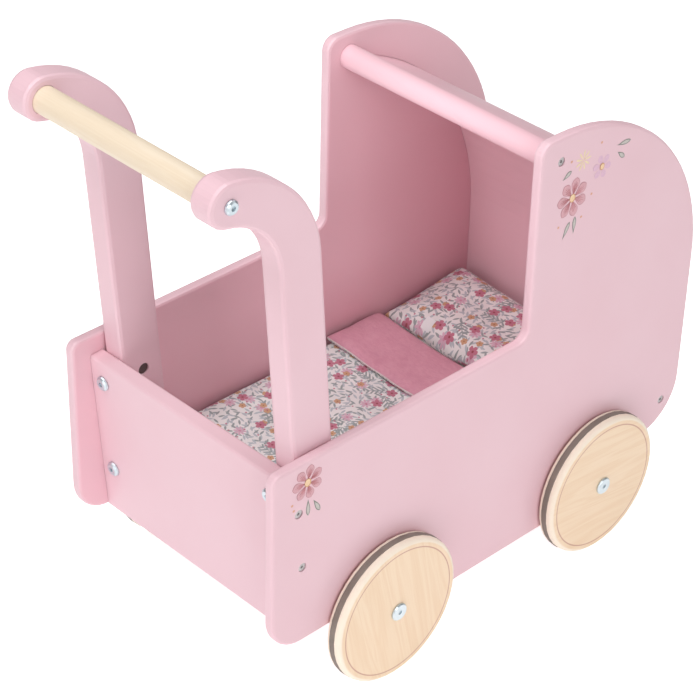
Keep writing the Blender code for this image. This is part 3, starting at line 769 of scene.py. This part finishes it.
def printed_shapes():
    """All the shapes on one side panel, as (ink, coat, outline)."""
    def at(place):
        return Vector((REAR_EDGE + place[0] * MM, place[1] * MM))

    shapes = []
    for centre, radius in BIG_FLOWERS:
        shapes += flower_shapes(at(centre), radius * MM)
    shapes += [("star", 0, petal(root, tip, STAR_WIDTH))
               for root, tip in around(at(STAR), 9, 0.4 * MM, 9 * MM, 0.3)]
    shapes += [("lilac", 0, petal(root, tip, LILAC_WIDTH))
               for root, tip in around(at(LILAC), 6, 1.5 * MM, 11 * MM, 0.2)]
    shapes.append(("eye_shade", 3, oval(at(LILAC), Vector((0, 3.1 * MM)), 2.7 * MM)))
    shapes.append(("eye", 4, oval(at(LILAC), Vector((0, 2.4 * MM)), 2.1 * MM)))
    for start, end in LEAVES:
        shapes.append(("leaf_edge", 0, petal(at(start), at(end), LEAF_WIDTH)))
        shapes.append(("leaf", 1, petal(at(start), at(end), LEAF_WIDTH, 0.7 * MM)))
    shapes += [("dot", 0, oval(at(place), Vector((1.2 * MM, 0)), 1.1 * MM)) for place in DOTS]
    return shapes


def make_prints():
    """One closed, very thin plate for each printed shape, on the outside of each side panel."""
    names = list(INKS)
    materials = [ink_material(name, INKS[name]) for name in names]
    shapes = printed_shapes()
    for label, side in SIDES.items():
        work = bmesh.new()
        for index, (ink, coat, outline) in enumerate(shapes):
            base = PANEL_FACE[label] + side * (PRINT_GAP + coat * PRINT_STEP + index % 8 * PRINT_STAGGER)
            rings = [[work.verts.new((x, p.x, p.y)) for p in outline]
                     for x in (base, base + side * PRINT_THICKNESS)]
            faces = [work.faces.new(ring) for ring in rings]
            for i in range(len(outline)):
                j = (i + 1) % len(outline)
                faces.append(work.faces.new((rings[0][i], rings[0][j], rings[1][j], rings[1][i])))
            for face in faces:
                face.material_index = names.index(ink)
        bmesh.ops.recalc_face_normals(work, faces=work.faces)
        mesh = bpy.data.meshes.new("flower_print_" + label)
        work.to_mesh(mesh)
        work.free()
        for material in materials:
            mesh.materials.append(material)
        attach(add_object("flower_print_" + label, mesh), "frame")


# Camera, lights and floor
CAMERA_PLACE = (-1.1251, REAR_EDGE + 0.91415, 1.27913)
CAMERA_RIGHT = (-0.69105, -0.72249, 0.02149)
CAMERA_DOWN = (-0.4176, 0.3748, -0.82773)
CAMERA_FORWARD = (0.58997, -0.58098, -0.56072)
CAMERA_LENS = 121.7
WORLD_LIGHT = 0.04
FLOOR_GLOW = 0.38
FLOOR_SEEN = 0.75
DISPLAY_GAMMA = 1.15
FLOOR_REACH = 6.0
# Name, place, target, size, watts and spread in degrees
LIGHTS = (
    ("overhead", (0, 0, 2.5), (0, 0, 0.2), 1.5, 26, 180),
    ("rear_high", (0.3, 1.5, 2.6), (0, 0, 0.2), 0.8, 24, 180),
    ("rear_low", (0, 2.8, 1.0), (0, 0, 0.3), 1.2, 17, 180),
    ("right", (-2.4, 0.9, 1.3), (0, 0, 0.2), 1.2, 25, 180),
    ("right_front", (-1.5, -1.5, 2.2), (0, 0, 0.2), 1.5, 9, 180),
    ("hood_fill", (0, 0.12, 0.42), (0, -0.45, 0.22), 0.2, 0.065, 70),
)


def add_camera():
    data = bpy.data.cameras.new("camera")
    data.sensor_width = 36
    data.lens = CAMERA_LENS
    camera = add_object("camera", data)
    axes = Matrix((CAMERA_RIGHT, [-v for v in CAMERA_DOWN], [-v for v in CAMERA_FORWARD])).transposed()
    camera.matrix_world = Matrix.Translation(CAMERA_PLACE) @ axes.to_4x4()
    bpy.context.scene.camera = camera


def add_light(name, place, target, size, power, spread):
    data = bpy.data.lights.new(name, "AREA")
    data.shape = "SQUARE"
    data.size = size
    data.spread = math.radians(spread)
    data.energy = power
    light = add_object(name, data)
    light.visible_camera = False
    light.location = place
    light.rotation_euler = (Vector(target) - Vector(place)).to_track_quat("-Z", "Y").to_euler()


def add_world():
    """Even white surroundings: full white to look at, and dimmer as a light."""
    world = bpy.data.worlds.new("studio")
    bpy.context.scene.world = world
    world.use_nodes = True
    tree = world.node_tree
    background = tree.nodes["Background"]
    background.inputs["Color"].default_value = (1, 1, 1, 1)
    path = tree.nodes.new("ShaderNodeLightPath")
    strength = tree.nodes.new("ShaderNodeMapRange")
    strength.inputs["To Min"].default_value = WORLD_LIGHT
    strength.inputs["To Max"].default_value = 1.0
    tree.links.new(path.outputs["Is Camera Ray"], strength.inputs["Value"])
    tree.links.new(strength.outputs[0], background.inputs["Strength"])


def add_floor():
    """Pale floor that glows a little, so that it shows as plain white."""
    g = Graph("white_floor")
    seen = g.node("LightPath").outputs["Is Camera Ray"]
    glow = g.ramp(seen, 0, 1, FLOOR_GLOW, FLOOR_SEEN)
    g.set(Base_Color=(0.9, 0.9, 0.9, 1), Roughness=0.9, Specular_IOR_Level=0.0,
          Emission_Color=(1, 1, 1, 1), Emission_Strength=glow)
    mesh = bpy.data.meshes.new("floor")
    corners = [(-FLOOR_REACH, -FLOOR_REACH, 0), (FLOOR_REACH, -FLOOR_REACH, 0),
               (FLOOR_REACH, FLOOR_REACH, 0), (-FLOOR_REACH, FLOOR_REACH, 0)]
    mesh.from_pydata(corners, [], [(0, 1, 2, 3)])
    mesh.materials.append(g.material)
    add_object("floor", mesh)


def light_scene():
    bpy.context.scene.view_settings.view_transform = "Standard"
    bpy.context.scene.view_settings.gamma = DISPLAY_GAMMA
    add_world()
    add_floor()
    for light in LIGHTS:
        add_light(*light)


dress_frame()
make_bedding()
make_prints()
add_camera()
light_scene()
